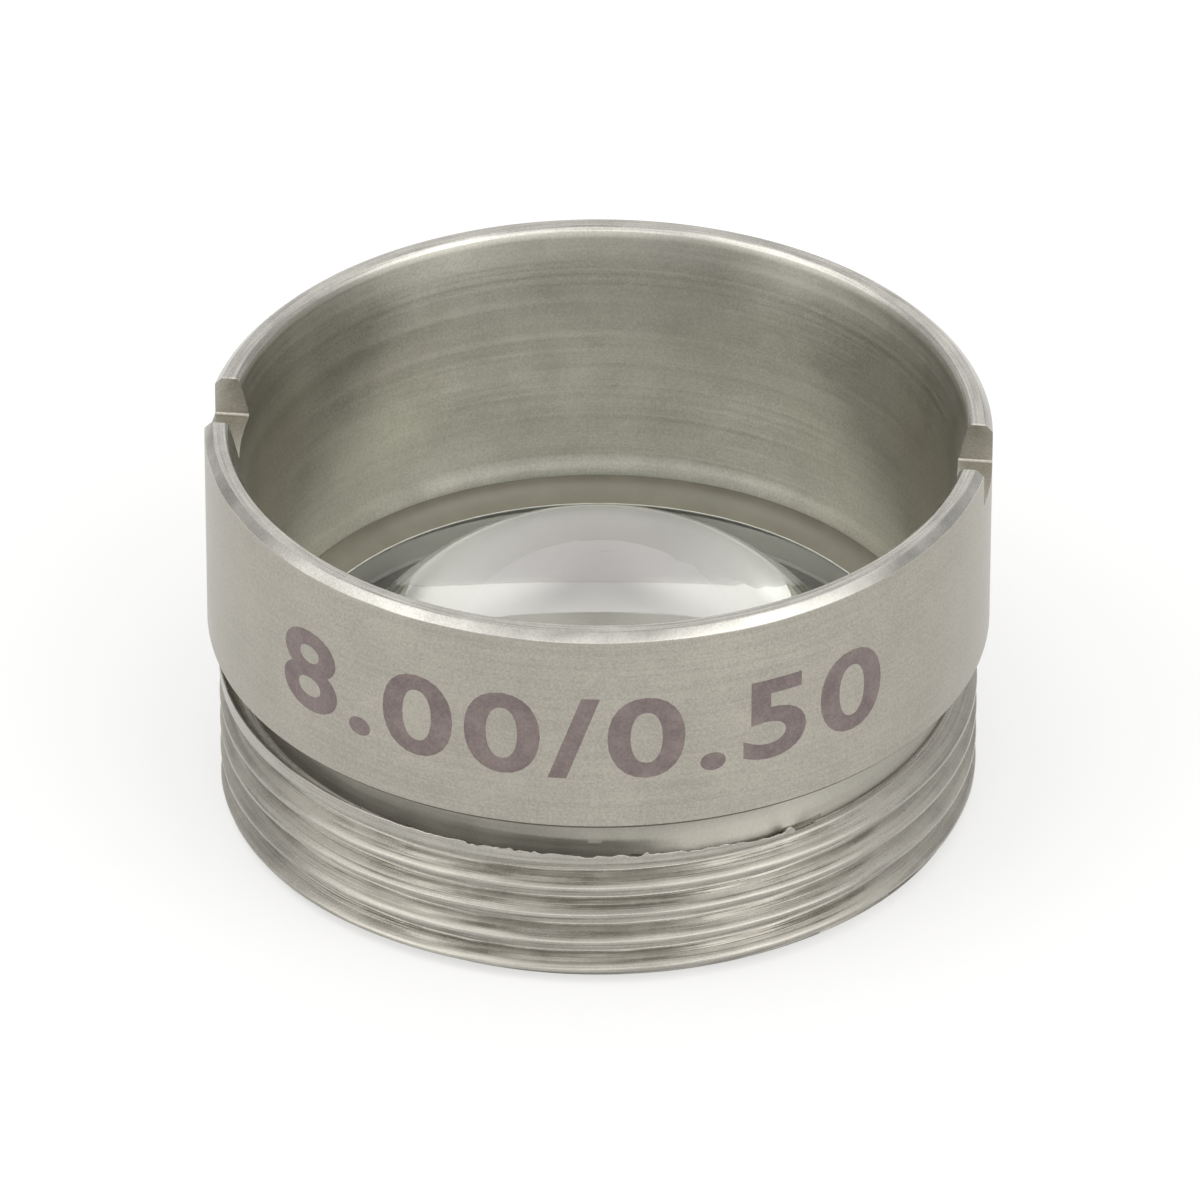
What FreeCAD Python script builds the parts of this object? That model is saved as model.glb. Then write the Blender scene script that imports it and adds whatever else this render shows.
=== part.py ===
import FreeCAD, Part
import os
from math import pi

import Sketcher

# Mounted aspheric lens: a turned stainless cell with an external fine thread and two spanner
# slots, a moulded aspheric lens dropped in from the slotted end, and the cured adhesive ring
# that holds it. The origin is the centre of the threaded end face, and +Z is the optical axis
# towards the slotted end. Lengths are millimetres, angles are degrees.

SIZES = {
    # Thread and relief at the lower end of the cell
    "thread_diameter": 11.92,
    "thread_pitch": 0.5,
    "thread_depth": 0.28,
    "thread_crest": 0.0625,
    "thread_flank_angle": 30,
    "thread_length": 2.15,
    "thread_end_chamfer": 0.17,
    "relief_depth": 0.37,
    "relief_width": 0.85,
    # Plain head with the slotted rim; the shoulder is its step out from the thread's crest
    "shoulder_width": 0.175,
    "head_length": 3.545,
    "head_lower_chamfer": 0.03,
    "rim_chamfer": 0.13,
    "rim_wall": 0.39,
    "rim_inner_break": 0.07,
    # Bore, from the rim down to the lens; the pocket's wall is measured to the thread's crest
    "lead_in_width": 0.19,
    "lead_in_depth": 0.7,
    "bore_blend": 5,
    "pocket_wall": 0.97,
    "recess_width": 0.26,
    "recess_depth": 0.35,
    "lens_clearance": 0.02,
    "lip_width": 0.49,
    "lip_thickness": 0.37,
    "aperture_break": 0.08,
    # Two spanner slots, cut by one pass across the rim
    "slot_width": 1.3,
    "slot_depth": 0.68,
    "slot_corner": 0.08,
    "slot_turn": -6.55,
    "slot_offset": -0.07,
    # Aspheric lens, plano side down; its diameter is the pocket's less the clearance
    "lens_edge_thickness": 1.51,
    "lens_centre_thickness": 3.75,
    "lens_bevel": 0.06,
    "vertex_radius": 4.71,
    "conic_constant": -0.13,
    # Adhesive ring
    "bead_rise": 0.32,
    "meniscus_sag": 0.07,
}

# How Sketcher numbers the sketch's own axes, its origin and the points of a curve
HORIZONTAL_AXIS, VERTICAL_AXIS = range(-1, -3, -1)
START, END, CENTRE = range(1, 4)
ORIGIN_POINT = START

# Heights
SHOULDER = "Sizes.thread_length + Sizes.relief_width"
RIM = f"{SHOULDER} + Sizes.head_length"
FLANGE = "Sizes.lip_thickness + Sizes.lens_edge_thickness"
RECESS_FLOOR = f"{FLANGE} - Sizes.recess_depth"

# Radii, each from the thread's crest by the walls and steps between
CREST = "Sizes.thread_diameter / 2"
HEAD = f"{CREST} + Sizes.shoulder_width"
MOUTH = f"{HEAD} - Sizes.rim_wall"
POCKET = f"{CREST} - Sizes.pocket_wall"
RECESS = f"{POCKET} + Sizes.recess_width"
LENS_EDGE = f"{POCKET} - Sizes.lens_clearance"


def add_sheet(doc):
    """The driving dimensions, one row each, with the name as the alias of its value."""
    sheet = doc.addObject("Spreadsheet::Sheet", "Sizes")
    for row, (name, number) in enumerate(SIZES.items(), start=1):
        sheet.set(f"A{row}", name)
        sheet.set(f"B{row}", str(number))
        sheet.setAlias(f"B{row}", name)
    doc.recompute()
    return sheet


def origin_feature(body, role):
    return next(item for item in body.Origin.OriginFeatures if item.Role == role)


def add_sketch(body, name, plane="XZ_Plane"):
    """A sketch on one of the body's own origin planes. On XZ, x is the radius and y the height."""
    sketch = body.newObject("Sketcher::SketchObject", name)
    sketch.AttachmentSupport = [(origin_feature(body, plane), "")]
    sketch.MapMode = "FlatFace"
    return sketch


def bind(sketch, formula, *constraint):
    """Adds a dimension, named so that it can be found again, and ties it to a formula."""
    index = sketch.addConstraint(Sketcher.Constraint(*constraint))
    name = f"size_{sketch.ConstraintCount}"
    sketch.renameConstraint(index, name)
    sketch.setExpression(f"Constraints.{name}", formula)


def place_corner(sketch, line, point, corner, guess):
    """Dimensions one corner from the sketch's origin. "0" lays it on an axis, None leaves it."""
    directions = ("DistanceX", VERTICAL_AXIS, guess.x), ("DistanceY", HORIZONTAL_AXIS, guess.y)
    for formula, (kind, axis, start) in zip(corner, directions):
        if formula == "0":
            sketch.addConstraint(Sketcher.Constraint("PointOnObject", line, point, axis))
        elif formula is not None:
            bind(sketch, formula, kind, HORIZONTAL_AXIS, ORIGIN_POINT, line, point, start)


def add_chain(sketch, corners, guesses=None):
    """Straight lines through corners given as (radius, height) formulas; returns their numbers.

    Where two neighbours share a formula, the line between them is made vertical or level, so
    each dimension is given once along such a line.
    """
    count = len(corners)
    if guesses is None:
        guesses = [(1 + number, 1 + number * number) for number in range(count)]
    points = [FreeCAD.Vector(x, y, 0) for x, y in guesses]
    lines = []
    for first, second in zip(points, points[1:]):
        lines.append(sketch.addGeometry(Part.LineSegment(first, second)))
    for before, after in zip(lines, lines[1:]):
        sketch.addConstraint(Sketcher.Constraint("Coincident", before, END, after, START))
    place_corner(sketch, lines[0], START, corners[0], points[0])
    for line, (old, new), guess in zip(lines, zip(corners, corners[1:]), points[1:]):
        same_radius = new[0] == old[0]
        same_height = new[1] == old[1]
        if same_radius:
            sketch.addConstraint(Sketcher.Constraint("Vertical", line))
        if same_height:
            sketch.addConstraint(Sketcher.Constraint("Horizontal", line))
        left = (None if same_radius else new[0], None if same_height else new[1])
        place_corner(sketch, line, END, left, guess)
    return lines


def add_profile(sketch, corners, guesses=None):
    """A closed outline of straight lines; returns the numbers of all but the closing one."""
    lines = add_chain(sketch, corners, guesses)
    first = sketch.Geometry[lines[0]].StartPoint
    last = sketch.Geometry[lines[-1]].EndPoint
    closing = sketch.addGeometry(Part.LineSegment(last, first))
    close_outline(sketch, lines, closing, START, END)
    return lines


def close_outline(sketch, lines, closing, near_end, far_end):
    """Joins the last curve of an outline to the end and the start of its chain of lines."""
    sketch.addConstraint(Sketcher.Constraint("Coincident", lines[-1], END, closing, near_end))
    sketch.addConstraint(Sketcher.Constraint("Coincident", lines[0], START, closing, far_end))


def round_corner(sketch, line, formula, radius):
    """Rounds the corner at a line's end. The corner's own dimensions stay."""
    sketch.fillet(line, END, radius, True, True)
    arc = next(
        number
        for number in reversed(range(sketch.GeometryCount))
        if isinstance(sketch.Geometry[number], Part.ArcOfCircle)
    )
    bind(sketch, formula, "Radius", arc, radius)


def revolve(body, sketch, name, kind="PartDesign::Revolution"):
    feature = body.newObject(kind, name)
    feature.Profile = sketch
    feature.ReferenceAxis = (sketch, ["V_Axis"])
    feature.Angle = 360
    sketch.Visibility = False
    return feature


def turn_cell(body, sheet):
    """The whole turned section of the cell, before its thread and slots are cut."""
    relief = f"{CREST} - Sizes.relief_depth"
    throat = (
        f"{MOUTH} - Sizes.lead_in_width",
        f"{RIM} - Sizes.rim_inner_break - Sizes.lead_in_depth",
    )
    aperture = f"{POCKET} - Sizes.lip_width"
    corners = [
        (f"{aperture} + Sizes.aperture_break", "0"),
        (f"{CREST} - Sizes.thread_end_chamfer", "0"),
        (CREST, "Sizes.thread_end_chamfer"),
        (CREST, "Sizes.thread_length"),
        (relief, "Sizes.thread_length"),
        (relief, SHOULDER),
        (f"{HEAD} - Sizes.head_lower_chamfer", SHOULDER),
        (HEAD, f"{SHOULDER} + Sizes.head_lower_chamfer"),
        (HEAD, f"{RIM} - Sizes.rim_chamfer"),
        (f"{HEAD} - Sizes.rim_chamfer", RIM),
        (f"{MOUTH} + Sizes.rim_inner_break", RIM),
        (MOUTH, f"{RIM} - Sizes.rim_inner_break"),
        throat,
        (RECESS, f"{FLANGE} + Sizes.bead_rise"),
        (RECESS, RECESS_FLOOR),
        (POCKET, RECESS_FLOOR),
        (POCKET, "Sizes.lip_thickness"),
        (aperture, "Sizes.lip_thickness"),
        (aperture, "Sizes.aperture_break"),
    ]
    sketch = add_sketch(body, "CellSection")
    lines = add_profile(sketch, corners)
    body.Document.recompute()
    lead_in = lines[corners.index(throat) - 1]
    round_corner(sketch, lead_in, "Sizes.bore_blend", sheet.bore_blend)
    return revolve(body, sketch, "CellTurning")


def cut_thread(body):
    """The thread's 60 degree grooves at their true pitch, depth and crest flat, one per turn."""
    root = f"{CREST} - Sizes.thread_depth"
    outside = f"{CREST} + Sizes.thread_depth"
    half_mouth = "(Sizes.thread_pitch - Sizes.thread_crest) / 2"
    half_root = f"({half_mouth} - Sizes.thread_depth * tan(Sizes.thread_flank_angle * 1 deg))"
    corners = [
        (CREST, f"Sizes.thread_pitch - {half_mouth}"),
        (root, f"Sizes.thread_pitch - {half_root}"),
        (root, f"Sizes.thread_pitch + {half_root}"),
        (CREST, f"Sizes.thread_pitch + {half_mouth}"),
        (outside, f"Sizes.thread_pitch + {half_mouth}"),
        (outside, f"Sizes.thread_pitch - {half_mouth}"),
    ]
    sketch = add_sketch(body, "ThreadSection")
    add_profile(sketch, corners)
    groove = revolve(body, sketch, "ThreadGroove", "PartDesign::Groove")
    pattern = body.newObject("PartDesign::LinearPattern", "ThreadTurns")
    pattern.Originals = [groove]
    pattern.Direction = (origin_feature(body, "Z_Axis"), [""])
    pattern.Mode = "Spacing"
    pattern.setExpression("Offset", "Sizes.thread_pitch")
    pattern.setExpression("Occurrences", "floor(Sizes.thread_length / Sizes.thread_pitch)")
    body.Tip = pattern
    return pattern


def cut_slots(body, sheet):
    """Both spanner slots as one straight pass across the rim, with small floor radii.

    The sketch stands on the pass's own cross plane, turned about the optical axis.
    """
    half_width = "Sizes.slot_width / 2"
    near = f"Sizes.slot_offset - {half_width}"
    far = f"Sizes.slot_offset + {half_width}"
    floor = f"{RIM} - Sizes.slot_depth"
    above = f"{RIM} + Sizes.slot_depth"
    rim = sheet.thread_length + sheet.relief_width + sheet.head_length
    low = rim - sheet.slot_depth
    high = rim + sheet.slot_depth
    left = sheet.slot_offset - sheet.slot_width / 2
    right = sheet.slot_offset + sheet.slot_width / 2
    sketch = add_sketch(body, "SlotSection", "YZ_Plane")
    turn = FreeCAD.Rotation(FreeCAD.Vector(0, 1, 0), sheet.slot_turn)
    sketch.AttachmentOffset = FreeCAD.Placement(FreeCAD.Vector(0, 0, 0), turn)
    sketch.setExpression("AttachmentOffset.Rotation.Angle", "Sizes.slot_turn")
    corners = [(near, above), (near, floor), (far, floor), (far, above)]
    guesses = [(left, high), (left, low), (right, low), (right, high)]
    near_wall, bed, far_wall = add_profile(sketch, corners, guesses)
    for wall in (near_wall, bed):
        round_corner(sketch, wall, "Sizes.slot_corner", sheet.slot_corner)
    pocket = body.newObject("PartDesign::Pocket", "SpannerSlots")
    pocket.Profile = sketch
    pocket.Type = "ThroughAll"
    pocket.SideType = "Symmetric"
    sketch.Visibility = False
    return pocket


def make_cell(doc, sheet):
    body = doc.addObject("PartDesign::Body", "LensCell")
    body.Label = "lens_cell"
    turned = turn_cell(body, sheet)
    doc.recompute()
    blank = turned.Shape.Volume
    threaded = cut_thread(body)
    doc.recompute()
    if threaded.Shape.Volume >= blank:
        raise RuntimeError("the thread grooves cut nothing")
    slotted = cut_slots(body, sheet)
    doc.recompute()
    if slotted.Shape.Volume >= threaded.Shape.Volume:
        raise RuntimeError("the spanner slots cut nothing")
    return body


def make_lens(doc, sheet):
    """The lens in its own frame: plano face at height 0, and a conic dome above the flange.

    A conic with vertex radius R and conic constant K between -1 and 0 is an ellipse, with a
    half axis of R / (1 + K) along the optical axis and one of R / sqrt(1 + K) across it.
    """
    body = doc.addObject("PartDesign::Body", "AsphericLens")
    body.Label = "aspheric_lens"
    body.setExpression("Placement.Base.z", "Sizes.lip_thickness")
    flange = "Sizes.lens_edge_thickness"
    corners = [
        ("0", "Sizes.lens_centre_thickness"),
        ("0", "0"),
        (f"{LENS_EDGE} - Sizes.lens_bevel", "0"),
        (LENS_EDGE, "Sizes.lens_bevel"),
        (LENS_EDGE, f"{flange} - Sizes.lens_bevel"),
        (f"{LENS_EDGE} - Sizes.lens_bevel", flange),
        (None, flange),
    ]
    radius = sheet.thread_diameter / 2 - sheet.pocket_wall - sheet.lens_clearance
    bevel = sheet.lens_bevel
    step = sheet.lens_edge_thickness
    apex = sheet.lens_centre_thickness
    along = sheet.vertex_radius / (1 + sheet.conic_constant)
    across = sheet.vertex_radius / (1 + sheet.conic_constant) ** 0.5
    centre_height = apex - along
    foot = across * (1 - ((step - centre_height) / along) ** 2) ** 0.5
    guesses = [
        (0, apex),
        (0, 0),
        (radius - bevel, 0),
        (radius, bevel),
        (radius, step - bevel),
        (radius - bevel, step),
        (foot, step),
    ]
    sketch = add_sketch(body, "LensSection")
    lines = add_chain(sketch, corners, guesses)
    centre = FreeCAD.Vector(0, centre_height, 0)
    top = FreeCAD.Vector(0, apex, 0)
    side = FreeCAD.Vector(-across, centre_height, 0)
    conic = Part.Ellipse(top, side, centre)
    foot_angle = conic.parameter(FreeCAD.Vector(foot, step, 0))
    full_turn = 2 * pi
    dome = sketch.addGeometry(Part.ArcOfEllipse(conic, foot_angle, full_turn))
    sketch.exposeInternalGeometry(dome)
    long_axis = dome + 1
    short_axis = dome + 2
    sketch.addConstraint(Sketcher.Constraint("PointOnObject", dome, CENTRE, VERTICAL_AXIS))
    sketch.addConstraint(Sketcher.Constraint("Vertical", long_axis))
    bind(sketch, "2 * Sizes.vertex_radius / (1 + Sizes.conic_constant)",
         "Distance", long_axis, 2 * along)
    bind(sketch, "2 * Sizes.vertex_radius / sqrt(1 + Sizes.conic_constant)",
         "Distance", short_axis, 2 * across)
    close_outline(sketch, lines, dome, START, END)
    revolve(body, sketch, "LensTurning")
    doc.recompute()
    return body


def make_bead(doc, sheet):
    """The adhesive ring: it fills the recess round the lens and ends in a hollow meniscus."""
    body = doc.addObject("PartDesign::Body", "AdhesiveBead")
    body.Label = "adhesive_bead"
    body.setExpression("Placement.Base.z", RECESS_FLOOR)
    flange = "Sizes.recess_depth"
    corners = [
        (f"{LENS_EDGE} - Sizes.lens_bevel", flange),
        (LENS_EDGE, f"{flange} - Sizes.lens_bevel"),
        (LENS_EDGE, "0"),
        (RECESS, "0"),
        (RECESS, f"{flange} + Sizes.bead_rise"),
    ]
    pocket = sheet.thread_diameter / 2 - sheet.pocket_wall
    inner = pocket - sheet.lens_clearance
    outer = pocket + sheet.recess_width
    bevel = sheet.lens_bevel
    low = sheet.recess_depth
    high = low + sheet.bead_rise
    guesses = [(inner - bevel, low), (inner, low - bevel), (inner, 0), (outer, 0), (outer, high)]
    sketch = add_sketch(body, "BeadSection")
    lines = add_chain(sketch, corners, guesses)
    foot = FreeCAD.Vector(inner - bevel, low, 0)
    crown = FreeCAD.Vector(outer, high, 0)
    chord = crown - foot
    into_corner = FreeCAD.Vector(chord.y, -chord.x, 0).normalize()
    middle = (foot + crown) / 2 + into_corner * sheet.meniscus_sag
    meniscus = sketch.addGeometry(Part.Arc(foot, middle, crown))
    width = "(Sizes.recess_width + Sizes.lens_clearance + Sizes.lens_bevel)"
    chord_square = f"({width} ^ 2 + Sizes.bead_rise ^ 2)"
    sag = "Sizes.meniscus_sag"
    bind(sketch, f"{chord_square} / (8 * {sag}) + {sag} / 2",
         "Radius", meniscus, sketch.Geometry[meniscus].Radius)
    close_outline(sketch, lines, meniscus, END, START)
    revolve(body, sketch, "BeadTurning")
    doc.recompute()
    return body


def check(doc, bodies):
    """Stops before anything is written if an object failed or a piece isn't one sound solid."""
    for item in doc.Objects:
        if "Invalid" in item.State or "Error" in item.State:
            raise RuntimeError(f"{item.Name} failed: {item.State}")
    for body in bodies:
        shape = body.Shape
        if shape.isNull() or not shape.isValid() or len(shape.Solids) != 1:
            raise RuntimeError(f"{body.Label} is not one valid solid")


def main():
    doc = FreeCAD.newDocument("MountedAsphericLens")
    sheet = add_sheet(doc)
    bodies = [make_cell(doc, sheet), make_lens(doc, sheet), make_bead(doc, sheet)]
    doc.recompute()
    check(doc, bodies)
    os.makedirs("parts", exist_ok=True)
    for body in bodies:
        body.Shape.exportStep(os.path.join("parts", f"{body.Label}.step"))
        print(body.Label, f"{body.Shape.Volume:.3f} mm3")


main()
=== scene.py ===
import math

import bmesh
import bpy
import numpy as np
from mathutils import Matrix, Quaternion, Vector


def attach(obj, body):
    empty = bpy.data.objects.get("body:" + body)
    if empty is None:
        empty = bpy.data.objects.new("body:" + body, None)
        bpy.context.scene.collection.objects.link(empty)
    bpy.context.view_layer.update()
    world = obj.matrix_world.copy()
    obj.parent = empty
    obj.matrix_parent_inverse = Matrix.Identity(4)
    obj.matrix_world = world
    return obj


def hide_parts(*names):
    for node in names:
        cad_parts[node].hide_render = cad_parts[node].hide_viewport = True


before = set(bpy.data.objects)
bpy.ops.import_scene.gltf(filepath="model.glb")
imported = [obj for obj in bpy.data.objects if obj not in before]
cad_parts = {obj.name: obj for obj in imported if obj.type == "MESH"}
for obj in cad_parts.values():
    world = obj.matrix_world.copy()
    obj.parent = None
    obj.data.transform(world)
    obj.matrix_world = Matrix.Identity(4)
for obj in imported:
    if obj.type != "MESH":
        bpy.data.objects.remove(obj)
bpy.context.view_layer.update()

# Lengths below are millimetres and angles are degrees, unless a name says otherwise. Azimuths are
# counted from the front (-Y), positive to the right (+X)
MM = 0.001
PER_MM = 1 / MM
TURN = 2 * math.pi

# Vertices closer than the first are merged, and edges shorter than the second are dissolved
MERGE_DISTANCE_M = 4e-7
SLIVER_LENGTH_M = 1e-7

# Camera, fitted to the ellipses of the rim, head and thread
IMAGE_SIZE = 1200
PIXELS_PER_MM = 63.78
CAMERA_DISTANCE = 217.4
CAMERA_ELEVATION = 33.02
CAMERA_ROLL_RAD = -0.0012
OBJECT_MIDDLE = (598.4, 597.0)
SENSOR_WIDTH = 36.0

# Heights and radii of the cell, from the CAD solid. RIM and HEAD lie 0.003 and 0.002 inside it
HEIGHT = 6.545
RIM = HEIGHT - 0.003
SHOULDER = 3.0
HEAD = 6.133
CREST = 5.96
ROOT = 5.68
RELIEF = 5.59
THREAD_TOP = 2.15

# Breaks and chamfers on the head's edges, and the small bends at corners of the section
LOWER_BREAK = 0.06
RIM_CHAMFER = 0.127
RELIEF_BEND = 0.03
HEAD_BEND = 0.018
POCKET_BEND = 0.02

# Sections as radius and height: the bore from its mouth down, the lens's pocket with the lip and
# exit aperture, the head from its lower edge to the bore's mouth, and the relief's upper corner
BORE_SECTION = (
    (5.745, HEIGHT - 0.07), (5.715, 6.36), (5.682, 6.24), (5.652, 6.12), (5.622, 6.0),
    (5.598, 5.87), (5.578, 5.74), (5.558, 5.58), (5.538, 5.4), (5.512, 5.1), (5.481, 4.7),
    (5.448, 4.3), (5.413, 3.9), (5.38, 3.5), (5.358, 3.1), (5.35, 2.8), (5.345, 2.64),
    (5.335, 2.54), (5.316, 2.45), (5.29, 2.37), (5.267, 2.295), (5.254, 2.23), (5.25, 2.17),
    (5.25, 1.53),
)
POCKET_SECTION = (
    BORE_SECTION[-1], (4.99, 1.53), (4.99, 0.37), (4.5, 0.37), (4.5, 0.08), (4.58, 0.0),
)
HEAD_SECTION = (
    (HEAD - LOWER_BREAK, SHOULDER), (HEAD, SHOULDER + LOWER_BREAK), (HEAD, 3.9), (HEAD, 5.2),
    (HEAD, RIM - RIM_CHAMFER), (HEAD - RIM_CHAMFER, RIM), (5.92, RIM), (5.815, RIM),
    BORE_SECTION[0],
)
NECK_HEIGHTS = (2.125, 2.14, 2.17, 2.22, 2.28, 2.35, 2.42, 2.5, 2.58, 2.68, 2.8, 2.9)
RELIEF_SECTION = ((RELIEF, NECK_HEIGHTS[-1]), (RELIEF, SHOULDER), HEAD_SECTION[0])

# Columns of the grid round the axis: first and last azimuth of each span, and their spacing
COLUMN_SPANS = (
    (-180, -95, 1.3), (-95, -32, 0.75), (-32, 36, 0.3), (36, 95, 0.75), (95, 180, 1.3),
)

# Thread: the groove's centre line climbs one pitch per turn to the right
PITCH = 0.5
GROOVE_AT_FRONT = 2.015
CREST_FLAT = 0.0625
DEPTH = CREST - ROOT
HALF_MOUTH = (PITCH - CREST_FLAT) / 2
FLANK_SLOPE = math.tan(math.radians(30))
END_CHAMFER = 0.17
EDGE_RADIUS = 0.012

# Rows of the thread's grid, as offsets from the groove's centre line, and how far the tool lines
# on a flank stand out or in at some of them
ROW_OFFSETS = (
    -0.226, -0.212, -0.195, -0.175, -0.153, -0.131, -0.109, -0.087, -0.066, -0.047,
    -0.02, 0.02, 0.05, 0.11, 0.17, 0.205, 0.226,
)
TOOL_LINES = {
    -0.175: 0.013, -0.153: -0.012, -0.131: 0.007, -0.109: -0.011, -0.087: 0.011, -0.066: -0.007,
}
TOOL_LINE_CHANGE = 0.6
THREAD_WEAR = 0.0025
END_FADE = 0.05
WEAR_SEED = 100
TOOL_LINE_SEED = 300

# The ridge above the last groove, which the relief cut has bent up to a feather edge: its top
# and how far that sinks to the right, its thickness, outward bend, and where it has broken off
LIP_TOP = 2.42
LIP_SINKS = 0.055
LIP_THICKNESS = 0.05
LIP_BEND = 0.012
LIP_BREAK = 30.4
LIP_BREAK_WIDTH = 0.9

# In thicknesses of the lip: how thick it is at its foot, how much of that it loses to its top,
# and how far inside its outer side the wall under it and the slope behind it stay
LIP_FOOT = 1.25
LIP_TAPER = 0.6
WALL_INSIDE = 1.3
SLOPE_INSIDE = 1.8

# Flakes and notches on the lip's edge: azimuth, height and width
LIP_FLAKES = (
    (-21.5, 0.03, 0.5), (-13.2, 0.035, 0.4), (-9.4, 0.03, 0.3), (-1.5, -0.05, 1.4),
    (5.6, -0.045, 1.2), (7.2, 0.05, 0.35), (12.4, 0.02, 0.5), (19.0, 0.03, 0.6),
    (22.8, -0.03, 1.2), (29.6, 0.07, 0.7),
)

# Rows up the lip's outer side and down its inner side, as shares of its height
LIP_OUTSIDE = (0.12, 0.24, 0.36, 0.5, 0.65, 0.8, 0.92, 1.0)
LIP_INSIDE = (0.98, 0.8, 0.55, 0.3, 0.1, 0.0)

# Slope at the relief's floor where the thread tool ran out, on the right, how much fuller it is
# just behind the lip's end, and the heights between which it leaves a gap on the left
RUNOUT_DEPTH = 0.19
RUNOUT_HEIGHT = 0.5
RUNOUT_CURVE = 1.3
FILL_DEPTH = 0.08
GAP_HEIGHTS = (2.46, 2.34)

# Spans of azimuth, each from where a form is absent to where it is full
LIP_RISES = (-150, -100)
LIP_TEARS = (-40, -22)
LIP_SINKS_OVER = (4, 28)
LIP_ENDS = (LIP_BREAK + 6, LIP_BREAK + 1.5)
RUNOUT_GROWS = (-32, 8)
RUNOUT_FADES = (180, 120)
FILL_GROWS = (5, 16)
FILL_FADES = (LIP_BREAK + 5, LIP_BREAK - 4)
GAP_OPENS = (14, -2)

# Slots, as in the CAD solid
SLOT_TURN = -6.55
SLOT_OFFSET = -0.07
SLOT_WIDTH = 1.3
SLOT_DEPTH = 0.68
SLOT_CORNER = 0.08
SLOT_EDGE_BREAK = 0.018
SLOT_CUTTER_REACH = 8.0
SLOT_CUTTER_TOP = 1.0

# Edges sharper than this are shaded as edges, apart from the thread's
SHARP_ANGLE = 38

# Clouds and grain in the steel, per millimetre, and how much shorter and closer its fine streaks
# are than its coarse ones
STEEL_CLOUDS = 0.9
STEEL_GRAIN = 27
FINE_SHORTER = 2.3
FINE_CLOSER = 2.6

# How far to each side of the axis the thread's front and rear streaks pass into each other, and
# the heights between which painted shade darkens the bore's steel towards its mouth
STREAK_BLEND = 1.0
PAINTED_SHADE_HEIGHTS = (2.6, 6.0)

# Glass: its index, the radii between which its tint goes from a darker middle, partly the film's
# tint and partly painted shade, to a lighter edge, and those at which the clear face ends and the
# ground edge begins
GLASS_INDEX = 1.81
TINT_AND_SHADE_RADII = (1.0, 3.0)
CLEAR_RADII = (4.86, 4.9)

# Floor: half its side in metres, its grey, and the share of plain white that thins its shadow
FLOOR_REACH_M = 0.4
FLOOR_GREY = 0.9
FLOOR_WHITE = 0.5

# Colour and brightness of the room, and its soft patches: direction, what it adds, and the
# cosines of the angles at which it begins and is full
ROOM_COLOUR = (1.0, 0.995, 0.975, 1)
ROOM_GLOW = 0.65
PATCHES = (
    ((0.69, -0.58, 0.42), 1.0, 0.80, 0.97),
    ((-0.81, -0.30, 0.50), 1.1, 0.80, 0.97),
    ((0.58, -0.44, 0.68), 1.0, 0.90, 0.98),
    ((-0.58, -0.44, 0.68), 0.6, 0.90, 0.98),
    ((0.45, 0.15, 0.88), 0.6, 0.88, 0.98),
    ((-0.45, 0.15, 0.88), 0.6, 0.88, 0.98),
    ((0.0, -0.84, 0.54), 1.1, 0.86, 0.97),
    ((0.0, -0.28, 0.96), 0.4, 0.90, 0.98),
    ((0.0, 0.84, 0.55), 0.35, 0.85, 0.97),
)

# Marking on the head: its text, the digits' height, the height of its middle, its azimuths, the
# inner and outer radius of its film, and the number of strips that it is bent round in
MARKING_TEXT = "8.00/0.50"
MARKING_CAP_HEIGHT = 1.34
MARKING_HEIGHT = 4.67
MARKING_SPAN = (-52.0, 45.0)
MARKING_RADII = (6.1322, 6.1345)
MARKING_STRIPS = 150


def smooth_step(edge0, edge1, value):
    """From 0 at edge0 to 1 at edge1, level at both ends; edge0 may be the larger."""
    t = np.clip((value - edge0) / (edge1 - edge0), 0, 1)
    return t * t * (3 - 2 * t)


def column_azimuths():
    """Azimuths of the grid's columns, in turns."""
    parts = []
    for start, end, step in COLUMN_SPANS:
        count = math.ceil((end - start) / step)
        parts.append(np.linspace(start, end, count, endpoint=False))
    return np.append(np.concatenate(parts), 180) / 360


AZIMUTH = column_azimuths()
DEGREES = AZIMUTH * 360

# How far the lip stands up at each column, and how ragged it is there, from 0 to 1
LIP_RISE = smooth_step(*LIP_RISES, DEGREES)
LIP_RAGGED = smooth_step(*LIP_TEARS, DEGREES)


def wander(seed, spacing, amount):
    """Random values at the columns, up to amount, joined up from points spacing degrees apart.

    They are the same each time for one seed, and the same at both ends.
    """
    count = max(4, round(360 / spacing))
    values = np.random.default_rng(seed).uniform(-1, 1, count)
    values = np.append(values, values[0])
    return amount * np.interp(AZIMUTH, np.linspace(-0.5, 0.5, count + 1), values)


def rounded(profile, radius, segments):
    """The open polyline with each inner corner replaced by a short bend."""
    points = [np.array(p, float) for p in profile]
    out = [points[0]]
    for before, corner, after in zip(points, points[1:], points[2:]):
        back = before - corner
        ahead = after - corner
        reach = min(radius, np.linalg.norm(back) * 0.4, np.linalg.norm(ahead) * 0.4)
        start = corner + back / np.linalg.norm(back) * reach
        end = corner + ahead / np.linalg.norm(ahead) * reach
        for step in range(segments + 1):
            t = step / segments
            out.append((1 - t) ** 2 * start + 2 * t * (1 - t) * corner + t * t * end)
    out.append(points[-1])
    return out


def groove_depth(offset):
    """How deep the groove is at a height offset from its centre line."""
    return np.clip((HALF_MOUTH - np.abs(offset)) / FLANK_SLOPE, 0, DEPTH)


def softened_depth(offset):
    """The groove's depth with small radii at its crest edges and root corners."""
    shifts = np.linspace(-EDGE_RADIUS, EDGE_RADIUS, 7)
    return sum(groove_depth(offset + shift) for shift in shifts) / len(shifts)


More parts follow.
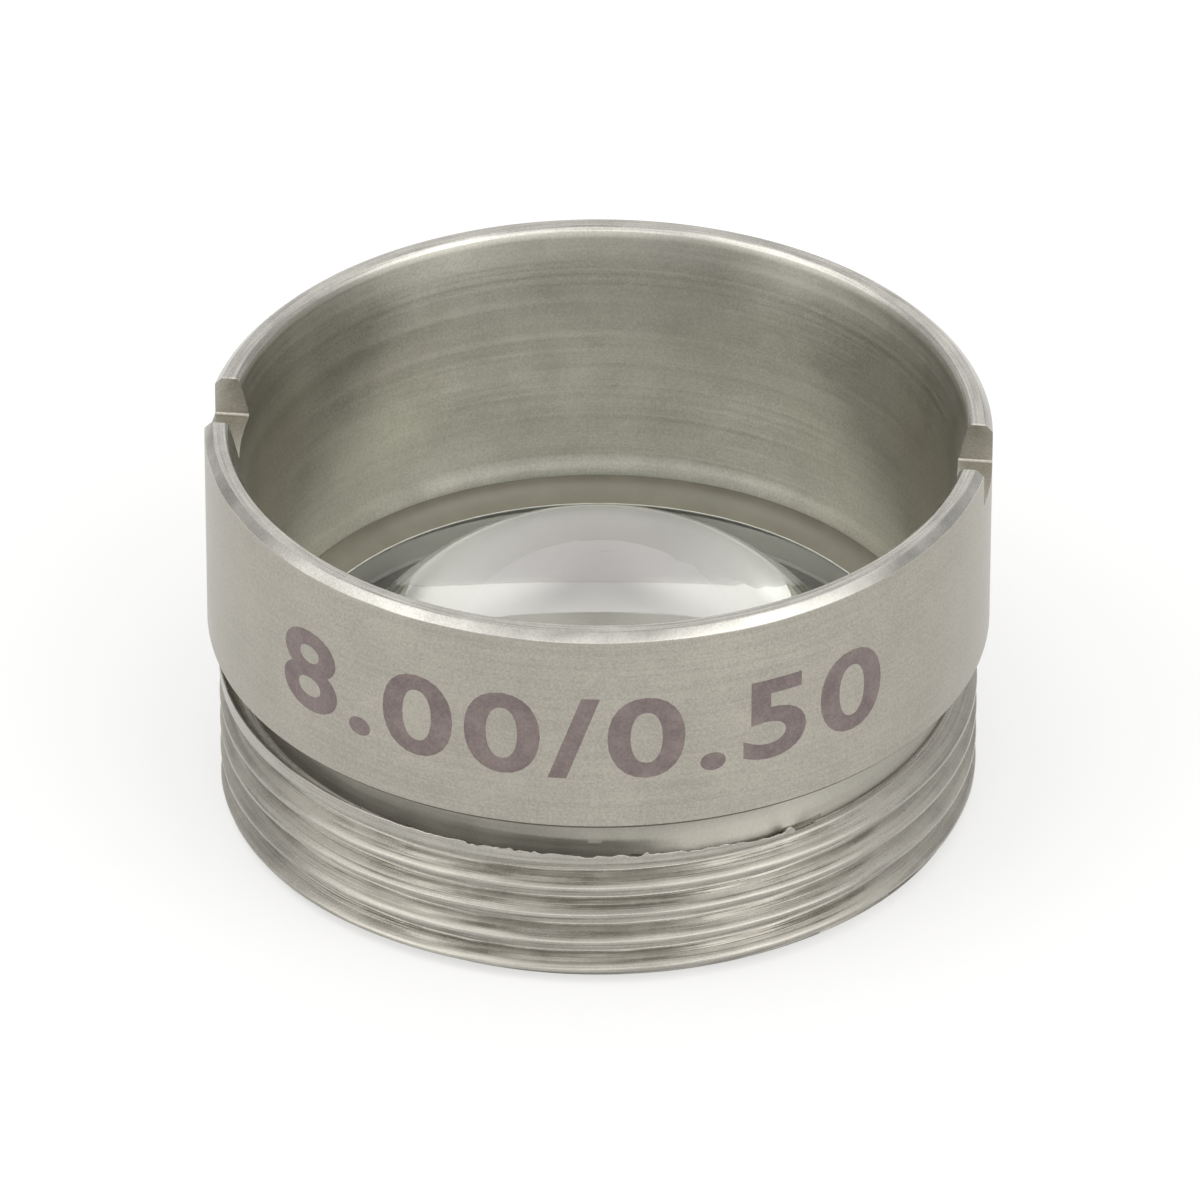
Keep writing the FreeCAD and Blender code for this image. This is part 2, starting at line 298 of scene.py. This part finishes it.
def thread_radius(z):
    """The thread's radius at each column, at one height or at one for each column."""
    centre = GROOVE_AT_FRONT + PITCH * AZIMUTH
    offset = (z - centre + PITCH / 2) % PITCH - PITCH / 2
    return np.minimum(CREST - softened_depth(offset), CREST - END_CHAMFER + z)


def ring(radius, z):
    """Points on a circle, one for each column."""
    angle = AZIMUTH * TURN
    radius = np.broadcast_to(radius, AZIMUTH.shape)
    z = np.broadcast_to(z, AZIMUTH.shape)
    return np.stack([radius * np.sin(angle), -radius * np.cos(angle), z], -1)


def thread_rings():
    """Grid rows that follow the helix, cut off level at the two ends of the thread."""
    rings = [ring(thread_radius(0.0), 0.0)]
    first_turn = math.floor(-GROOVE_AT_FRONT / PITCH) - 1
    last_turn = math.ceil((THREAD_TOP - GROOVE_AT_FRONT) / PITCH) + 1
    off_seam = smooth_step(0.5, 0.49, np.abs(AZIMUTH))
    for turn in range(first_turn, last_turn + 1):
        for number, offset in enumerate(ROW_OFFSETS + (PITCH / 2,)):
            z = GROOVE_AT_FRONT + PITCH * (turn + AZIMUTH) + offset
            if z.max() <= 0 or z.min() >= THREAD_TOP:
                continue
            inside = smooth_step(0, END_FADE, z) * smooth_step(THREAD_TOP, THREAD_TOP - END_FADE, z)
            wear = wander(WEAR_SEED + number, 4, THREAD_WEAR)
            change = 1 + wander(TOOL_LINE_SEED + number, 9, TOOL_LINE_CHANGE)
            worn = wear + TOOL_LINES.get(offset, 0.0) * change
            z = np.clip(z, 0, THREAD_TOP)
            rings.append(ring(thread_radius(z) + worn * inside * off_seam, z))
    rings.append(ring(thread_radius(THREAD_TOP), THREAD_TOP))
    return rings


def lip_height():
    """How far the bent-up ridge stands above the thread's end at each column."""
    unbroken = smooth_step(LIP_BREAK + LIP_BREAK_WIDTH, LIP_BREAK, DEGREES)
    top = LIP_TOP - LIP_SINKS * smooth_step(*LIP_SINKS_OVER, DEGREES)
    rough = wander(11, 0.3, 0.014) + wander(12, 1.1, 0.012) + wander(13, 5.5, 0.008)
    even = wander(14, 3.0, 0.004) + wander(15, 0.9, 0.003)
    for place, height, width in LIP_FLAKES:
        rough = rough + height * np.exp(-((DEGREES - place) / width) ** 2)
    ragged = LIP_RAGGED * rough + (1 - LIP_RAGGED) * even
    return LIP_RISE * unbroken * (top - THREAD_TOP + ragged)


def lip_rings():
    """The lip's outer side, its thin top and its inner side down to the relief's wall."""
    height = lip_height()
    rise = LIP_RISE * smooth_step(*LIP_ENDS, DEGREES)
    base = thread_radius(THREAD_TOP)
    over_groove = GROOVE_AT_FRONT + PITCH * AZIMUTH
    bend = LIP_BEND + LIP_RAGGED * (wander(21, 1.2, 0.014) + wander(22, 4.0, 0.012))
    rows = [(share, 0.0) for share in LIP_OUTSIDE]
    rows += [(share, LIP_THICKNESS * (LIP_FOOT - LIP_TAPER * share)) for share in LIP_INSIDE]
    rings = []
    for share, thickness in rows:
        z = THREAD_TOP + height * share
        offset = np.maximum(z - over_groove, 0)
        outer = CREST - softened_depth(offset) + bend * share ** 2
        radius = base + (outer - base) * rise
        rings.append(ring(radius - thickness, z))
    return rings


def neck_rings():
    """The relief's wall, with the slope where the thread tool ran out."""
    behind_lip = smooth_step(*FILL_GROWS, DEGREES) * smooth_step(*FILL_FADES, DEGREES)
    runout = RUNOUT_DEPTH * smooth_step(*RUNOUT_GROWS, DEGREES)
    runout = runout * smooth_step(*RUNOUT_FADES, DEGREES) + FILL_DEPTH * behind_lip
    gap = smooth_step(*GAP_OPENS, DEGREES)
    wall = thread_radius(THREAD_TOP) - LIP_THICKNESS * WALL_INSIDE
    rings = []
    for z in NECK_HEIGHTS:
        slope = np.clip(1 - (z - THREAD_TOP) / RUNOUT_HEIGHT, 0, 1) ** RUNOUT_CURVE
        slope = slope * (1 - gap * smooth_step(*GAP_HEIGHTS, z))
        over_groove = np.maximum(z - GROOVE_AT_FRONT - PITCH * AZIMUTH, 0)
        sheet = CREST - softened_depth(over_groove) - LIP_THICKNESS * SLOPE_INSIDE
        raised = wall + behind_lip * np.maximum(sheet - wall, 0) * (z > THREAD_TOP)
        rings.append(ring(np.minimum(RELIEF + runout * slope, raised), z))
    return rings


def section_rings():
    """The turned section from the relief over the rim, down the bore and out at the base."""
    relief = rounded(RELIEF_SECTION, RELIEF_BEND, 3)
    head = rounded(HEAD_SECTION, HEAD_BEND, 3)
    pocket = rounded(POCKET_SECTION, POCKET_BEND, 1)
    profile = relief + head[1:] + list(BORE_SECTION[1:]) + pocket[1:]
    return [ring(radius, z) for radius, z in profile]


def new_object(name, data):
    """An object in the scene with this mesh, curve or camera."""
    obj = bpy.data.objects.new(name, data)
    bpy.context.scene.collection.objects.link(obj)
    return obj


def mesh_object(name, points, faces):
    """A mesh from millimetre points, its doubles merged and its faces turned outwards."""
    mesh = bpy.data.meshes.new(name)
    mesh.from_pydata((np.asarray(points) * MM).tolist(), [], faces)
    work = bmesh.new()
    work.from_mesh(mesh)
    bmesh.ops.remove_doubles(work, verts=work.verts, dist=MERGE_DISTANCE_M)
    bmesh.ops.dissolve_degenerate(work, edges=work.edges, dist=SLIVER_LENGTH_M)
    bmesh.ops.recalc_face_normals(work, faces=work.faces)
    work.to_mesh(mesh)
    work.free()
    return new_object(name, mesh)


def turned_body(name, rings):
    """A closed body of revolution from rings that share their columns."""
    count = len(AZIMUTH)
    faces = []
    for low in range(len(rings)):
        high = (low + 1) % len(rings)
        for column in range(count - 1):
            faces.append((
                low * count + column,
                low * count + column + 1,
                high * count + column + 1,
                high * count + column,
            ))
    return mesh_object(name, np.concatenate(rings), faces)


def slot_cutter():
    """A long bar along the slots, with rounded lower corners and a small flare at the rim."""
    half = SLOT_WIDTH / 2
    floor = HEIGHT - SLOT_DEPTH
    brink = RIM - SLOT_EDGE_BREAK
    flare = half + SLOT_CUTTER_TOP
    outline = [(-flare, brink + SLOT_CUTTER_TOP), (-half, brink)]
    outline += rounded([(-half, brink), (-half, floor), (half, floor), (half, brink)],
                       SLOT_CORNER, 6)[1:-1]
    outline += [(half, brink), (flare, brink + SLOT_CUTTER_TOP)]
    turn = math.radians(SLOT_TURN)
    points = []
    for along in (-SLOT_CUTTER_REACH, SLOT_CUTTER_REACH):
        for across, z in outline:
            side = across + SLOT_OFFSET
            points.append((
                along * math.cos(turn) - side * math.sin(turn),
                along * math.sin(turn) + side * math.cos(turn),
                z,
            ))
    count = len(outline)
    faces = [(k, k + 1, count + k + 1, count + k) for k in range(count - 1)]
    faces.append((count - 1, 0, count, 2 * count - 1))
    faces.append(tuple(range(count)))
    faces.append(tuple(range(2 * count - 1, count - 1, -1)))
    return mesh_object("slot_cutter", points, faces)


def cut_away(obj, cutter):
    """Takes the cutter's form out of the object's mesh, and removes the cutter."""
    modifier = obj.modifiers.new("slots", "BOOLEAN")
    modifier.operation = "DIFFERENCE"
    modifier.object = cutter
    modifier.solver = "EXACT"
    graph = bpy.context.evaluated_depsgraph_get()
    mesh = bpy.data.meshes.new_from_object(obj.evaluated_get(graph))
    obj.modifiers.clear()
    obj.data = mesh
    bpy.data.objects.remove(cutter)


def new_material(name):
    """A material with one Principled shader; returns it, its node tree and the shader."""
    material = bpy.data.materials.new(name)
    material.use_nodes = True
    tree = material.node_tree
    tree.nodes.clear()
    output = tree.nodes.new("ShaderNodeOutputMaterial")
    shader = tree.nodes.new("ShaderNodeBsdfPrincipled")
    tree.links.new(shader.outputs[0], output.inputs[0])
    return material, tree, shader


def math_node(tree, operation, *values):
    """A Math node whose inputs are sockets or numbers; returns its output."""
    node = tree.nodes.new("ShaderNodeMath")
    node.operation = operation
    for socket, value in zip(node.inputs, values):
        if isinstance(value, (int, float)):
            socket.default_value = value
        else:
            tree.links.new(value, socket)
    return node.outputs[0]


def weighted(tree, *terms):
    """The sum of values times their weights, given in pairs; a weight may be a socket too."""
    total, *others = [math_node(tree, "MULTIPLY", value, weight) for value, weight in terms]
    for other in others:
        total = math_node(tree, "ADD", total, other)
    return total


def colour_mix(tree, first, second, share, blend_type="MIX"):
    """Mixes two colours, each RGBA numbers or a socket; returns the output."""
    node = tree.nodes.new("ShaderNodeMix")
    node.data_type = "RGBA"
    node.blend_type = blend_type
    for socket, value in ((node.inputs[6], first), (node.inputs[7], second)):
        if isinstance(value, tuple):
            socket.default_value = value
        else:
            tree.links.new(value, socket)
    tree.links.new(share, node.inputs[0])
    return node.outputs[2]


def object_place(tree):
    """The place on the part, in metres, for noise that stays on its surface."""
    return tree.nodes.new("ShaderNodeTexCoord").outputs["Object"]


def separated(tree, vector):
    """The vector's three numbers."""
    node = tree.nodes.new("ShaderNodeSeparateXYZ")
    tree.links.new(vector, node.inputs[0])
    return tuple(node.outputs)


def noise_node(tree, vector, scale, detail, roughness=0.5):
    """Noise from 0 to 1, scale to the metre; returns the output."""
    node = tree.nodes.new("ShaderNodeTexNoise")
    node.inputs["Scale"].default_value = scale
    node.inputs["Detail"].default_value = detail
    node.inputs["Roughness"].default_value = roughness
    tree.links.new(vector, node.inputs["Vector"])
    return node.outputs["Fac"]


def ranged(tree, value, low, high, start=0.25, end=0.75, kind="LINEAR"):
    """The value stretched from start..end to low..high, and kept within them."""
    node = tree.nodes.new("ShaderNodeMapRange")
    node.interpolation_type = kind
    node.inputs["From Min"].default_value = start
    node.inputs["From Max"].default_value = end
    node.inputs["To Min"].default_value = low
    node.inputs["To Max"].default_value = high
    tree.links.new(value, node.inputs["Value"])
    return node.outputs[0]


def linear(r, g, b):
    """Display colour, 0 to 255, as linear RGBA."""
    out = []
    for value in (r, g, b):
        c = value / 255
        out.append(c / 12.92 if c <= 0.04045 else ((c + 0.055) / 1.055) ** 2.4)
    return (*out, 1.0)


def tool_mark_vector(tree, place, helical=False, middle=1.0):
    """Coordinates whose third number runs across the tool marks, so noise makes long lines.

    It adds height and radius, so the lines are rings on walls and end faces alike, and on the
    thread it takes off the helix's climb. The climb is counted from the front where middle is
    1 and from the back where it is -1, and has its seam on the other side.
    """
    x, y, z = separated(tree, place)
    radius = math_node(tree, "SQRT", weighted(tree, (x, x), (y, y)))
    across = math_node(tree, "ADD", z, radius)
    if helical:
        azimuth = math_node(tree, "ARCTAN2", math_node(tree, "MULTIPLY", x, middle),
                            math_node(tree, "MULTIPLY", y, -middle))
        climb = math_node(tree, "MULTIPLY", azimuth, PITCH * MM / TURN)
        across = math_node(tree, "SUBTRACT", across, climb)
    joined = tree.nodes.new("ShaderNodeCombineXYZ")
    for socket, value in zip(joined.inputs, (x, y, across)):
        tree.links.new(value, socket)
    return joined.outputs[0]


def stretched(tree, vector, along, across):
    """The vector scaled, its third number apart from the others."""
    node = tree.nodes.new("ShaderNodeMapping")
    node.inputs["Scale"].default_value = (along, along, across)
    tree.links.new(vector, node.inputs["Vector"])
    return node.outputs[0]


def tool_streaks(tree, marks, lines, length):
    """Coarse and fine streaks: lines per millimetre across, length millimetres along."""
    along = PER_MM / length
    across = PER_MM * lines
    coarse = noise_node(tree, stretched(tree, marks, along, across), 1.0, 2.0)
    fine = noise_node(tree, stretched(tree, marks, FINE_SHORTER * along, FINE_CLOSER * across),
                      1.0, 1.0)
    return weighted(tree, (coarse, 0.6), (fine, 0.4))


def steel_material(name, base, roughness, lines, bump, tone=0.05, spread=0.06,
                   anisotropy=0.7, helical=False, length=5.0, grit=0.4, painted_mouth_shade=0.0):
    """Turned stainless steel: long tool lines round the axis, cloudy colour and fine grain.

    lines is the number of tool lines per millimetre, length how long they run in millimetres and
    bump how high they are in millimetres. tone is how far the colour goes to each side of base,
    spread the same for the roughness, grit the share of fine grain beside the lines, and
    painted_mouth_shade how much painted shade darkens the steel from the bore's foot to its mouth.
    """
    material, tree, shader = new_material(name)
    link = tree.links.new
    place = object_place(tree)
    clouds = noise_node(tree, place, STEEL_CLOUDS * PER_MM, 5.0, 0.65)
    grain = noise_node(tree, place, STEEL_GRAIN * PER_MM, 1.0)
    streaks = tool_streaks(tree, tool_mark_vector(tree, place, helical), lines, length)
    if helical:
        rear = tool_streaks(tree, tool_mark_vector(tree, place, True, -1.0), lines, length)
        depth = separated(tree, place)[1]
        at_back = ranged(tree, depth, 0, 1, -STREAK_BLEND * MM, STREAK_BLEND * MM)
        at_front = math_node(tree, "SUBTRACT", 1.0, at_back)
        streaks = weighted(tree, (streaks, at_front), (rear, at_back))
    shade = weighted(tree, (streaks, 0.7 - grit), (clouds, 0.3), (grain, grit))
    dark = tuple(c * (1 - tone) for c in base[:3]) + (1,)
    light = tuple(min(1, c * (1 + tone)) for c in base[:3]) + (1,)
    colour = colour_mix(tree, dark, light, ranged(tree, shade, 0, 1, 0.4, 0.6))
    # Painted shade: the colour darkens from the bore's foot up to its mouth, standing in for how
    # light falls off up the bore wall, not a property of the steel
    if painted_mouth_shade:
        foot, mouth = (height * MM for height in PAINTED_SHADE_HEIGHTS)
        towards_mouth = ranged(tree, separated(tree, place)[2], 0, 1, foot, mouth)
        mouth_shade_colour = (1 - painted_mouth_shade,) * 3 + (1,)
        colour = colour_mix(tree, colour, mouth_shade_colour, towards_mouth, "MULTIPLY")
    link(colour, shader.inputs["Base Color"])
    worn = weighted(tree, (streaks, 0.6), (clouds, 0.4))
    link(ranged(tree, worn, roughness - spread, roughness + spread, 0.35, 0.65),
         shader.inputs["Roughness"])
    ridges = tree.nodes.new("ShaderNodeBump")
    ridges.inputs["Strength"].default_value = 1.0
    ridges.inputs["Distance"].default_value = bump * MM
    relief = math_node(tree, "ADD", streaks, math_node(tree, "MULTIPLY", grain, 0.75 * grit))
    link(relief, ridges.inputs["Height"])
    link(ridges.outputs[0], shader.inputs["Normal"])
    tangent = tree.nodes.new("ShaderNodeTangent")
    tangent.direction_type = "RADIAL"
    tangent.axis = "Z"
    link(tangent.outputs[0], shader.inputs["Tangent"])
    shader.inputs["Anisotropic"].default_value = anisotropy
    shader.inputs["Anisotropic Rotation"].default_value = 0.25
    shader.inputs["Metallic"].default_value = 1.0
    return material


def glass_material():
    """Moulded glass with an antireflection film, a tint darker at its middle that is partly the
    film's and partly painted shade, and the faint unevenness of its surface.
    """
    material, tree, shader = new_material("coated_glass")
    shader.inputs["IOR"].default_value = GLASS_INDEX
    shader.inputs["Specular IOR Level"].default_value = 0.3
    place = object_place(tree)
    flat = tree.nodes.new("ShaderNodeVectorMath")
    flat.operation = "MULTIPLY"
    flat.inputs[1].default_value = (1, 1, 0)
    tree.links.new(place, flat.inputs[0])
    length = tree.nodes.new("ShaderNodeVectorMath")
    length.operation = "LENGTH"
    tree.links.new(flat.outputs[0], length.inputs[0])
    radius = length.outputs["Value"]
    clear_ends, ground_begins = (r * MM for r in CLEAR_RADII)
    tree.links.new(ranged(tree, radius, 1.0, 0.0, clear_ends, ground_begins),
                   shader.inputs["Transmission Weight"])
    # Painted shade: the glass is tinted darker at its middle, standing in for the shadowed floor
    # under the cell seen through the lens; its pinkish grey is partly the film's own tint
    shade_tint_begins, shade_tint_ends = (r * MM for r in TINT_AND_SHADE_RADII)
    tint_and_painted_shade = colour_mix(tree, linear(197, 191, 192), linear(226, 228, 222),
                      ranged(tree, radius, 0.0, 1.0, shade_tint_begins, shade_tint_ends))
    tree.links.new(tint_and_painted_shade, shader.inputs["Base Color"])
    haze = noise_node(tree, place, 0.9 * PER_MM, 3.0)
    edge = ranged(tree, radius, 0.0, 0.5, clear_ends, ground_begins)
    tree.links.new(math_node(tree, "ADD", edge, ranged(tree, haze, 0.0, 0.03)),
                   shader.inputs["Roughness"])
    return material


def adhesive_material():
    """Grey cured adhesive, a little cloudy and glossy."""
    material, tree, shader = new_material("cured_adhesive")
    clouds = noise_node(tree, object_place(tree), 1.5 * PER_MM, 3.0)
    colour = colour_mix(tree, linear(113, 110, 97), linear(139, 135, 121), clouds)
    tree.links.new(colour, shader.inputs["Base Color"])
    tree.links.new(ranged(tree, clouds, 0.28, 0.42), shader.inputs["Roughness"])
    return material


def marking_material():
    """The brown oxide that a marking laser leaves on steel, a little mottled."""
    material, tree, shader = new_material("marking_oxide")
    place = object_place(tree)
    clouds = noise_node(tree, place, 2.6 * PER_MM, 4.0, 0.65)
    grain = noise_node(tree, place, 24 * PER_MM, 1.0)
    shade = weighted(tree, (clouds, 0.65), (grain, 0.35))
    colour = colour_mix(tree, linear(106, 94, 95), linear(132, 120, 117),
                        ranged(tree, shade, 0, 1, 0.36, 0.64))
    tree.links.new(colour, shader.inputs["Base Color"])
    tree.links.new(ranged(tree, clouds, 0.4, 0.55), shader.inputs["Roughness"])
    shader.inputs["Metallic"].default_value = 0.6
    return material


def text_mesh():
    """The marking's text as a flat filled mesh, one unit to the line."""
    curve = bpy.data.curves.new("marking_text", "FONT")
    curve.body = MARKING_TEXT
    curve.size = 1.0
    curve.offset = 0.022
    curve.resolution_u = 6
    curve.space_character = 1.12
    source = new_object("marking_text", curve)
    graph = bpy.context.evaluated_depsgraph_get()
    mesh = bpy.data.meshes.new_from_object(source.evaluated_get(graph))
    bpy.data.objects.remove(source)
    return mesh


def make_marking():
    """Plain numbers, wrapped round the head as a thin closed film."""
    work = bmesh.new()
    work.from_mesh(text_mesh())
    bmesh.ops.remove_doubles(work, verts=work.verts, dist=1e-5)
    across = [vert.co.x for vert in work.verts]
    heights = sorted(vert.co.y for vert in work.verts)
    left, right = min(across), max(across)
    # The digits' top is taken where one point in 20 is as high
    top = heights[-len(heights) // 20]
    for number in range(1, MARKING_STRIPS):
        place = left + (right - left) * number / MARKING_STRIPS
        bmesh.ops.bisect_plane(
            work, geom=work.verts[:] + work.edges[:] + work.faces[:], dist=1e-6,
            plane_co=(place, 0, 0), plane_no=(1, 0, 0))
    bmesh.ops.triangulate(work, faces=work.faces)
    count = len(work.verts)
    work.verts.index_update()
    flat = [vert.co.copy() for vert in work.verts]
    triangles = [tuple(vert.index for vert in face.verts) for face in work.faces]
    rims = [tuple(vert.index for vert in edge.verts) for edge in work.edges if edge.is_boundary]
    work.free()
    span = math.radians(MARKING_SPAN[1] - MARKING_SPAN[0])
    points = []
    for radius in MARKING_RADII:
        for co in flat:
            azimuth = math.radians(MARKING_SPAN[0]) + span * (co.x - left) / (right - left)
            z = MARKING_HEIGHT + MARKING_CAP_HEIGHT * (co.y / top - 0.5)
            points.append((radius * math.sin(azimuth), -radius * math.cos(azimuth), z))
    faces = [tuple(index + count for index in face) for face in triangles]
    faces += [tuple(reversed(face)) for face in triangles]
    faces += [(a, b, b + count, a + count) for a, b in rims]
    marking = mesh_object("marking", points, faces)
    set_materials(marking, marking_material())
    return marking


# Zones of the cell, in the order of its materials
OUTSIDE, THREAD, NECK, BORE, ENDS, SLOTS, PAINTED_SHADE_HEAD_EDGE = range(7)

# Limits between the zones. The bore lies within the wide radius from a little under the shoulder
# up, and within the narrow one below
SLOT_MARGIN = 0.02
RIM_DEPTH = 0.15
BORE_WIDE = 5.8
BORE_NARROW = 5.4
BORE_UNDER_SHOULDER = 0.2
SKIN = 0.01
BASE_SKIN = 0.001

# The neck is what lies near the relief's floor, or well inside the thread's crest on the slope
FLOOR_RADIUS = RELIEF + 0.07
FLOOR_FROM = THREAD_TOP - 0.04
SLOPE_RADIUS = CREST - 0.08
SLOPE_FROM = THREAD_TOP + 0.09

# How far along the axis the normal of a level face and of a tilted edge is, at least, and how far
# across the slot that of its wall is
LEVEL = 0.95
TILTED = 0.3
ACROSS_SLOT = 0.98


def zone_of(centre, normal):
    """Which zone a face belongs to, from its middle in millimetres and its normal."""
    radius = math.hypot(centre.x, centre.y)
    z = centre.z
    slot_floor = HEIGHT - SLOT_DEPTH
    if z > slot_floor - SLOT_MARGIN and radius < HEAD - SKIN:
        turn = math.radians(SLOT_TURN)
        side = -centre.x * math.sin(turn) + centre.y * math.cos(turn) - SLOT_OFFSET
        facing = -normal.x * math.sin(turn) + normal.y * math.cos(turn)
        on_slot_floor = normal.z > LEVEL and z < slot_floor + SLOT_MARGIN
        at_slot_wall = abs(abs(side) - SLOT_WIDTH / 2) < SLOT_MARGIN
        if on_slot_floor or abs(facing) > ACROSS_SLOT and at_slot_wall:
            return SLOTS
    if z > HEIGHT - RIM_DEPTH and normal.z > TILTED:
        return ENDS
    if radius < BORE_WIDE and z > SHOULDER - BORE_UNDER_SHOULDER or radius < BORE_NARROW:
        return BORE
    if z < BASE_SKIN or normal.z < -LEVEL:
        return ENDS
    if z > SHOULDER - SKIN:
        # The head's down-facing lower edge gets dark steel as painted shade under the head's edge
        return PAINTED_SHADE_HEAD_EDGE if normal.z < -TILTED else OUTSIDE
    outwards = (normal.x * centre.x + normal.y * centre.y) / radius
    on_relief_floor = radius < FLOOR_RADIUS and z > FLOOR_FROM
    on_slope = radius < SLOPE_RADIUS and z > SLOPE_FROM
    return NECK if outwards > 0 and (on_relief_floor or on_slope) else THREAD


def set_materials(obj, *materials):
    """Puts these in place of the object's materials."""
    obj.data.materials.clear()
    for material in materials:
        obj.data.materials.append(material)


def dress_cell(obj):
    """Gives each face the steel of its zone, and keeps the thread's shading smooth."""
    set_materials(
        obj,
        steel_material("turned_steel", linear(167, 163, 153), roughness=0.36, lines=14,
                       bump=0.0006, tone=0.13),
        steel_material("thread_steel", linear(171, 168, 160), roughness=0.3, lines=34,
                       bump=0.008, tone=0.22, spread=0.18, anisotropy=0.4, helical=True,
                       length=4.0, grit=0.14),
        steel_material("neck_steel", linear(179, 176, 167), roughness=0.5, lines=10,
                       bump=0.0004, tone=0.1, grit=0.25),
        # The bore's steel is painted light: its colour is lighter than the outer steel's, and
        # painted shade darkens it towards the mouth
        steel_material("bore_steel_painted_light_and_shade", linear(216, 214, 203), roughness=0.345, lines=12,
                       bump=0.0002, tone=0.11, anisotropy=0.8, length=14.0, painted_mouth_shade=0.38),
        steel_material("faced_steel", linear(187, 185, 179), roughness=0.24, lines=28,
                       bump=0.0045, tone=0.28, spread=0.14, length=2.0, grit=0.12),
        steel_material("slot_steel", linear(174, 171, 162), roughness=0.36, lines=14,
                       bump=0.001, tone=0.14),
        # Painted shade: dark steel on the head's down-facing lower edge, standing in for the shade
        # in the gap under the head
        steel_material("head_edge_painted_shade", linear(104, 100, 92), roughness=0.45, lines=14,
                       bump=0.001, tone=0.2),
    )
    for face in obj.data.polygons:
        face.material_index = zone_of(face.center / MM, face.normal)
    obj.data.shade_smooth()
    obj.data.set_sharp_from_angle(angle=math.radians(SHARP_ANGLE))
    thread_edges = set()
    for face in obj.data.polygons:
        if face.material_index == THREAD:
            thread_edges.update(face.edge_keys)
    for edge in obj.data.edges:
        if edge.key in thread_edges:
            edge.use_edge_sharp = False


def make_floor():
    """White paper under the part. It keeps the soft shadow of the part, thinned for the eye."""
    far = FLOOR_REACH_M
    corners = [(-far, -far, 0), (far, -far, 0), (far, far, 0), (-far, far, 0)]
    mesh = bpy.data.meshes.new("floor")
    mesh.from_pydata(corners, [], [(0, 1, 2, 3)])
    floor = new_object("floor", mesh)
    material, tree, shader = new_material("floor_paper")
    shader.inputs["Base Color"].default_value = (FLOOR_GREY, FLOOR_GREY, FLOOR_GREY, 1)
    shader.inputs["Roughness"].default_value = 0.9
    shader.inputs["Specular IOR Level"].default_value = 0.0
    glow = tree.nodes.new("ShaderNodeEmission")
    path = tree.nodes.new("ShaderNodeLightPath")
    seen = path.outputs["Is Camera Ray"]
    for kind in ("Is Glossy Ray", "Is Transmission Ray"):
        seen = math_node(tree, "MAXIMUM", seen, path.outputs[kind])
    blend = tree.nodes.new("ShaderNodeMixShader")
    tree.links.new(math_node(tree, "MULTIPLY", seen, FLOOR_WHITE), blend.inputs[0])
    tree.links.new(shader.outputs[0], blend.inputs[1])
    tree.links.new(glow.outputs[0], blend.inputs[2])
    output = next(n for n in tree.nodes if n.type == "OUTPUT_MATERIAL")
    tree.links.new(blend.outputs[0], output.inputs[0])
    set_materials(floor, material)


def make_world():
    """A soft tent with brighter patches on its walls."""
    world = bpy.data.worlds.new("studio")
    bpy.context.scene.world = world
    world.use_nodes = True
    tree = world.node_tree
    tree.nodes.clear()
    output = tree.nodes.new("ShaderNodeOutputWorld")
    background = tree.nodes.new("ShaderNodeBackground")
    background.inputs["Color"].default_value = ROOM_COLOUR
    direction = tree.nodes.new("ShaderNodeTexCoord").outputs["Generated"]
    strength = ROOM_GLOW
    for towards, glow, begins, full in PATCHES:
        facing = tree.nodes.new("ShaderNodeVectorMath")
        facing.operation = "DOT_PRODUCT"
        facing.inputs[1].default_value = Vector(towards).normalized()
        tree.links.new(direction, facing.inputs[0])
        patch = ranged(tree, facing.outputs["Value"], 0.0, glow, begins, full, "SMOOTHSTEP")
        strength = math_node(tree, "ADD", patch, strength)
    tree.links.new(strength, background.inputs["Strength"])
    tree.links.new(background.outputs[0], output.inputs[0])


def make_camera():
    """The photograph's camera, aimed at the middle of the part's height."""
    elevation = math.radians(CAMERA_ELEVATION)
    back = Vector((0, -math.cos(elevation), math.sin(elevation)))
    data = bpy.data.cameras.new("camera")
    data.sensor_width = SENSOR_WIDTH
    data.lens = SENSOR_WIDTH * PIXELS_PER_MM * CAMERA_DISTANCE / IMAGE_SIZE
    half = IMAGE_SIZE / 2
    data.shift_x = (half - OBJECT_MIDDLE[0]) / IMAGE_SIZE
    data.shift_y = -(half - OBJECT_MIDDLE[1]) / IMAGE_SIZE
    data.clip_start = 0.01
    camera = new_object("camera", data)
    camera.location = Vector((0, 0, HEIGHT / 2 * MM)) + back * CAMERA_DISTANCE * MM
    camera.rotation_mode = "QUATERNION"
    aim = (-back).to_track_quat("-Z", "Y")
    camera.rotation_quaternion = aim @ Quaternion((0, 0, 1), -CAMERA_ROLL_RAD)
    bpy.context.scene.camera = camera


cell_rings = thread_rings() + lip_rings() + neck_rings() + section_rings()
cell = turned_body("cell_body", cell_rings)
cut_away(cell, slot_cutter())
dress_cell(cell)
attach(cell, "root")
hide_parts("lens_cell")

marking = make_marking()
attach(marking, "root")

set_materials(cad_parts["aspheric_lens"], glass_material())
set_materials(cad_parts["adhesive_bead"], adhesive_material())

make_floor()
make_world()
make_camera()
bpy.context.scene.view_settings.view_transform = "Standard"
